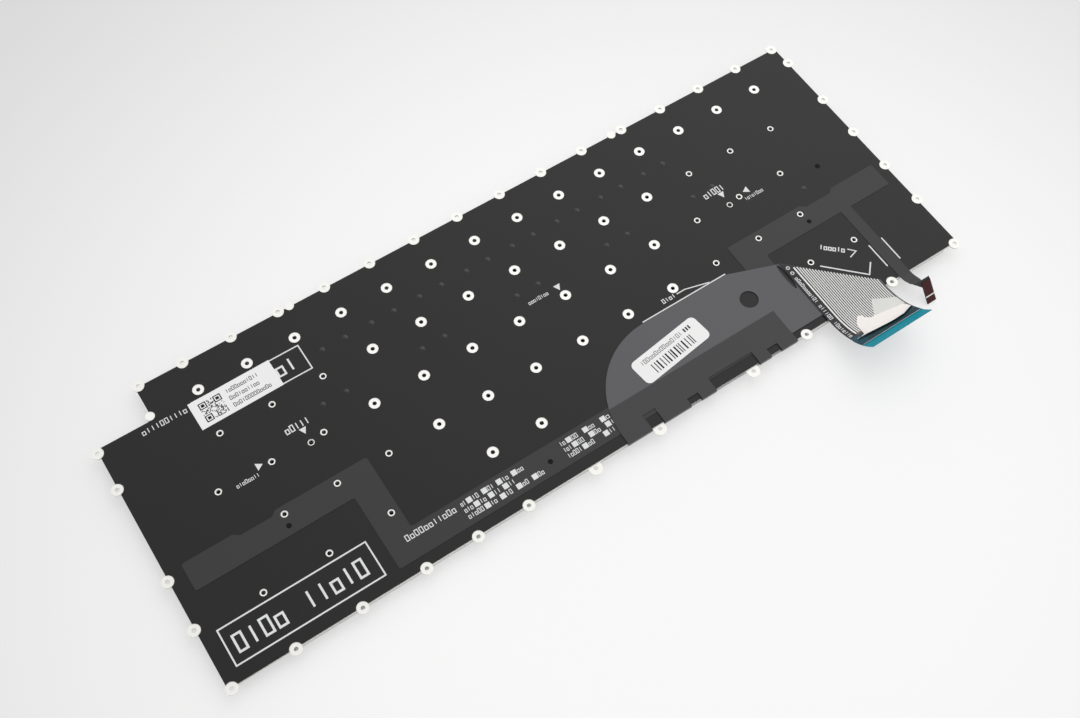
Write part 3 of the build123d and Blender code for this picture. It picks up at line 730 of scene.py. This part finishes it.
band_left_x, band_right_x = tail_left_x + 0.1, tail_right_x - 0.1
band_lift, band_skin = 0.075, 0.03
band_finger_z = band_lift + band_skin
bare_left_x, bare_lift = broad_trace_x - 0.4, trace_lift + 0.05
band_start, band_end = even(30.2), even(47.0)
bare_start, bare_end = even(28.0), even(30.1)
highlight_start, highlight_end = even(47.05), even(47.6)
tail_patch("contact_band", band_left_x, band_right_x, band_start, band_end, lifted(band_lift), band_skin,
           band_cover)
tail_patch("bare_line", bare_left_x, band_right_x, bare_start, bare_end, lifted(bare_lift), band_skin,
           bare_ink)
# A painted highlight: a thin pale strip along the tail's cut edge.
tail_patch("tail_edge_highlight", band_left_x, band_right_x, highlight_start, highlight_end, lifted(band_lift), band_skin,
           painted_edge_highlight)
finger_start, finger_length, finger_steps, finger_width = 31.0, 15.4, 12, 0.45
finger_angles = [finger_start + finger_length * k / finger_steps for k in range(finger_steps + 1)]
finger_ys = [curl_y - curl_radius * math.radians(angle) for angle in finger_angles]
ground_end, ground_lift, ground_skin, ground_rows = even(30.0), lifted(0.065), 0.01, 40
finger_marks = []
for x in trace_xs:
    finger_marks.append(rails([(x, y) for y in finger_ys], finger_width))


def on_band(x, y, lift):
    """Places a point on the contact band's face."""
    return on_tail(x, y, band_finger_z + lift)


def below_fold(x):
    """The slanting fold as an angle round the curl, negative on the flat part."""
    return math.degrees((curl_y - fold_y(x) + 0.2) / curl_radius)


ink_marks("contact_fingers", finger_marks, on_band, carbon_ink)
tail_patch("tail_ground", band_left_x, tail_right_x - plain_border, below_fold, ground_end, ground_lift,
           ground_skin, ground_ink, rows=ground_rows)

# The tail's liner is torn backing paper left on its adhesive, thin, white and ragged, curling up along
# its lower edge, with a scrap of clear tape across the traces above it.
liner_paper = finish("liner_paper", srgb(240, 235, 231), 0.6, drift=0.02, grain=0.15)
liner_low_x, liner_high_x = 86.2, 110.6
liner_stops = [(86.2, 35.0), (89.8, 34.0), (90.3, 28.9), (91.4, 18.4), (94.2, 12.2), (95.4, 14.2),
               (95.7, 17.4), (97.1, 21.5), (98.8, 21.2), (103.6, 24.1), (109.4, 27.1), (110.6, 34.6)]
liner_foot = along([(86.2, 35.6), (91.2, 37.4), (97.4, 39.9), (100.9, 40.9), (105.2, 40.6), (110.6, 35.4)])
liner_top = along(liner_stops)
liner_lift, liner_curl, liner_thickness, liner_past_glue = 0.13, 0.55, 0.08, 0.4
tear_chance = random.Random(2)
tear_reach, tear_count = 0.35, 200
tear = [tear_chance.uniform(-tear_reach, tear_reach) for _ in range(tear_count)]


def torn_top(x):
    """The liner's upper edge with the small teeth of torn paper."""
    return liner_top(x) + tear[int((x - liner_low_x) / patch_step)]


def curled_foot(x):
    """The liner's lower edge, a little past the glue line."""
    return liner_foot(x) + liner_past_glue


liner = tail_patch("liner", liner_low_x, liner_high_x, torn_top, curled_foot, lifted(liner_lift, liner_curl),
                   liner_thickness, liner_paper)
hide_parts("tail_liner")
clear_tape = finish("clear_tape", srgb(244, 244, 240), 0.5, drift=0.04, grain=0.5, grain_size=0.5)
clear_tape_cover = 0.62
clear_tape.node_tree.nodes["Principled BSDF"].inputs["Alpha"].default_value = clear_tape_cover
tape_low_x, tape_high_x, tape_lift, tape_skin, tape_tuck = 98.9, 110.3, 0.115, 0.02, 0.6
tape_top = along([(98.8, 20.6), (102.9, 4.8), (105.6, 9.3), (108.2, 13.1), (110.3, 16.3)])


def under_liner(x):
    """The clear tape's lower edge, tucked under the liner."""
    return liner_top(x) + tape_tuck


tail_patch("clear_tape", tape_low_x, tape_high_x, tape_top, under_liner, lifted(tape_lift), tape_skin,
           clear_tape)

# The fold tape is matt black cloth tape that holds the wrapped flap down along the front edge.
tape_cloth = finish("tape_cloth", srgb(54, 54, 55), 0.65, grain=0.3, grain_size=0.5)
dress("fold_tape", tape_cloth)

# The barcode sticker is a glossy white paper label stuck askew on the grey flap, with black bars and a
# line of pale words above them.
sticker_paper = finish("sticker_paper", srgb(240, 240, 240), 0.4, drift=0.02, grain=0.05)
black_ink = finish("black_ink", srgb(16, 16, 18), 0.5, shine=0.2, grain=0.05)
grey_ink = finish("grey_ink", srgb(104, 104, 106), 0.5, shine=0.2, grain=0.05)
dress("barcode_sticker", sticker_paper)
sticker_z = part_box("barcode_sticker")[1].z / mm
sticker_chance = random.Random(3)
bar_marks = []
bar_x, bars_end = -9.2, 9.4
bar_low_y, bar_high_y = -3.5, 0.3
bar_widths, bar_gaps = (0.35, 0.6), (0.5, 0.7, 1.0)
while bar_x < bars_end:
    bar_width = sticker_chance.choice(bar_widths)
    bar_marks.append(block(bar_x, bar_low_y, bar_x + bar_width, bar_high_y))
    bar_x += bar_width + sticker_chance.choice(bar_gaps)
sticker_place = ((32.4, -32.4), 7.7)
ink_marks("sticker_bars", turned(bar_marks, *sticker_place), flat_at(sticker_z), black_ink)
line_low_y, line_height = 1.7, 1.5
word_ends = (-11.4, line_low_y), (7.6, line_low_y)
word_marks = stroke_word(*word_ends, line_height, 15, 0.22, sticker_chance)
ink_marks("sticker_words", turned(word_marks, *sticker_place), flat_at(sticker_z), grey_ink)
end_width = 0.6
end_marks = [block(x, line_low_y, x + end_width, line_low_y + line_height) for x in (8.4, 9.5, 10.6)]
ink_marks("sticker_blocks", turned(end_marks, *sticker_place), flat_at(sticker_z), black_ink)

# The identity label is matt white paper near the notch, with a square matrix of black cells and three
# lines of small words.
label_paper = finish("label_paper", srgb(240, 240, 241), 0.55, drift=0.02, grain=0.1)
dress("id_label", label_paper)
label_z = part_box("id_label")[1].z / mm
label_place = ((-98.3, 32.4), 0.7)
label_chance = random.Random(21)
matrix_low_x, matrix_low_y = -12.3, -4.0
matrix_count, matrix_width, matrix_height = 21, 8.0, 7.6
cell_x, cell_y = matrix_width / matrix_count, matrix_height / matrix_count
cell_margin, cell_share, finder_gap = 0.05, 0.45, 0.02
matrix_marks = []


def cells(low_column, low_row, high_column, high_row):
    """A filled block of cells of the matrix."""
    low_x, low_y = matrix_low_x + low_column * cell_x, matrix_low_y + low_row * cell_y
    high_x, high_y = matrix_low_x + high_column * cell_x, matrix_low_y + high_row * cell_y
    return block(low_x, low_y, high_x, high_y)


finder_cells = [(0, 0), (0, 14), (14, 14)]
for column, row in finder_cells:
    matrix_marks.append(cells(column, row, column + 7, row + 1))
    matrix_marks.append(cells(column, row + 6, column + 7, row + 7))
    matrix_marks.append(cells(column, row + 1 + finder_gap, column + 1, row + 6 - finder_gap))
    matrix_marks.append(cells(column + 6, row + 1 + finder_gap, column + 7, row + 6 - finder_gap))
    matrix_marks.append(cells(column + 2, row + 2, column + 5, row + 5))
cell_end = 1 - cell_margin
for column in range(matrix_count):
    for row in range(matrix_count):
        in_finder = any(c <= column < c + 8 and r - 1 <= row < r + 8 for c, r in finder_cells)
        if not in_finder and label_chance.random() < cell_share:
            low_corner = (column + cell_margin, row + cell_margin)
            matrix_marks.append(cells(*low_corner, column + cell_end, row + cell_end))
line_start, line_letter, line_step, line_width = -2.2, 1.4, 1.05, 0.2
for line_y, line_end in ((2.1, 9.8), (-0.8, 8.8), (-3.7, 11.8)):
    line_ends = (line_start, line_y), (line_end, line_y)
    line_count = round((line_end - line_start) / line_step)
    matrix_marks += stroke_word(*line_ends, line_letter, line_count, line_width, label_chance)
ink_marks("label_print", turned(matrix_marks, *label_place), flat_at(label_z), black_ink)
